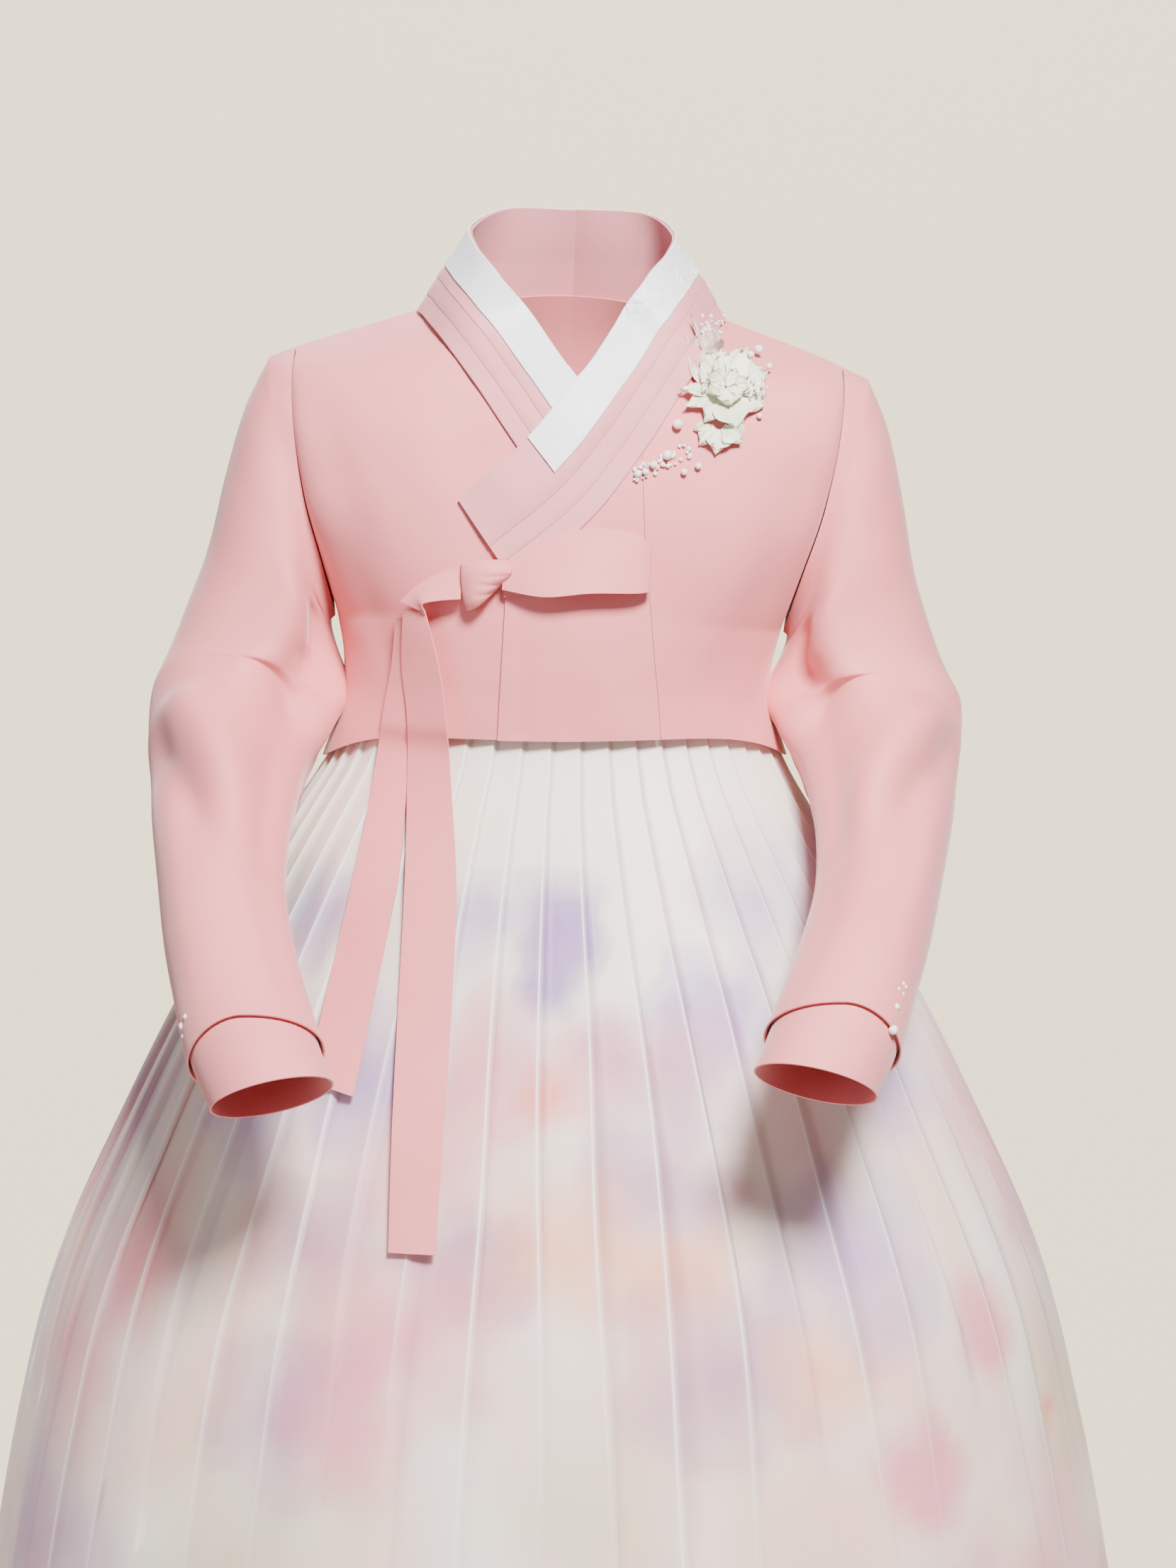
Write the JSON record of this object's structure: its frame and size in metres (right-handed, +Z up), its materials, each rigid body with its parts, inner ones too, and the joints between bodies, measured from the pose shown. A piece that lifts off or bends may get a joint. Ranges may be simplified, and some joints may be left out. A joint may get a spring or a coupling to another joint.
{
  "type": "korean hanbok",
  "caption": "Worn Korean hanbok: short crossed jacket with collar strip, ribbon ties and corsage, over a full pleated floor-length skirt.",
  "frame": {"origin": "between the wearer's shoulders at the base of the neck, where the wearer carries the garment", "axes": "+Z up, -Y out of the front of the jacket, +X toward the wearer's left"},
  "size_m": [0.9508, 0.8258, 1.4416],
  "materials": {
    "back_left": "matt woven cloth",
    "back_right": "matt woven cloth",
    "chest_band": "matt woven cloth",
    "chima_lining": "matt woven cloth",
    "chima_outer": "sheer or pearly cloth",
    "corsage_bud_side": "sheer or pearly cloth",
    "corsage_bud_top": "sheer or pearly cloth",
    "corsage_flower": "sheer or pearly cloth",
    "corsage_heart": "sheer or pearly cloth",
    "corsage_lower": "sheer or pearly cloth",
    "cuff_left": "matt woven cloth",
    "cuff_right": "matt woven cloth",
    "dongjeong_over": "matt woven cloth",
    "dongjeong_under": "matt woven cloth",
    "front_left_over": "matt woven cloth",
    "front_right_under": "matt woven cloth",
    "git_over": "matt woven cloth",
    "git_under": "matt woven cloth",
    "goreum_arm": "matt woven cloth",
    "goreum_knot": "matt woven cloth",
    "goreum_long_tail": "matt woven cloth",
    "goreum_loop": "matt woven cloth",
    "goreum_short_tail": "matt woven cloth",
    "seop_overlap": "matt woven cloth",
    "sleeve_left": "matt woven cloth",
    "sleeve_right": "matt woven cloth"
  },
  "bodies": {
    "root": {"back_left": "back_left", "back_right": "back_right", "chest_band": "chest_band", "chima_lining": "chima_lining", "chima_outer": "chima_outer", "corsage_bud_side": "corsage_bud_side", "corsage_bud_top": "corsage_bud_top", "corsage_flower": "corsage_flower", "corsage_heart": "corsage_heart", "corsage_lower": "corsage_lower", "cuff_left": "cuff_left", "cuff_right": "cuff_right", "dongjeong_over": "dongjeong_over", "dongjeong_under": "dongjeong_under", "front_left_over": "front_left_over", "front_right_under": "front_right_under", "git_over": "git_over", "git_under": "git_under", "goreum_arm": "goreum_arm", "goreum_knot": "goreum_knot", "goreum_long_tail": "goreum_long_tail", "goreum_loop": "goreum_loop", "goreum_short_tail": "goreum_short_tail", "seop_overlap": "seop_overlap", "sleeve_left": "sleeve_left", "sleeve_right": "sleeve_right"}
  },
  "joints": []
}
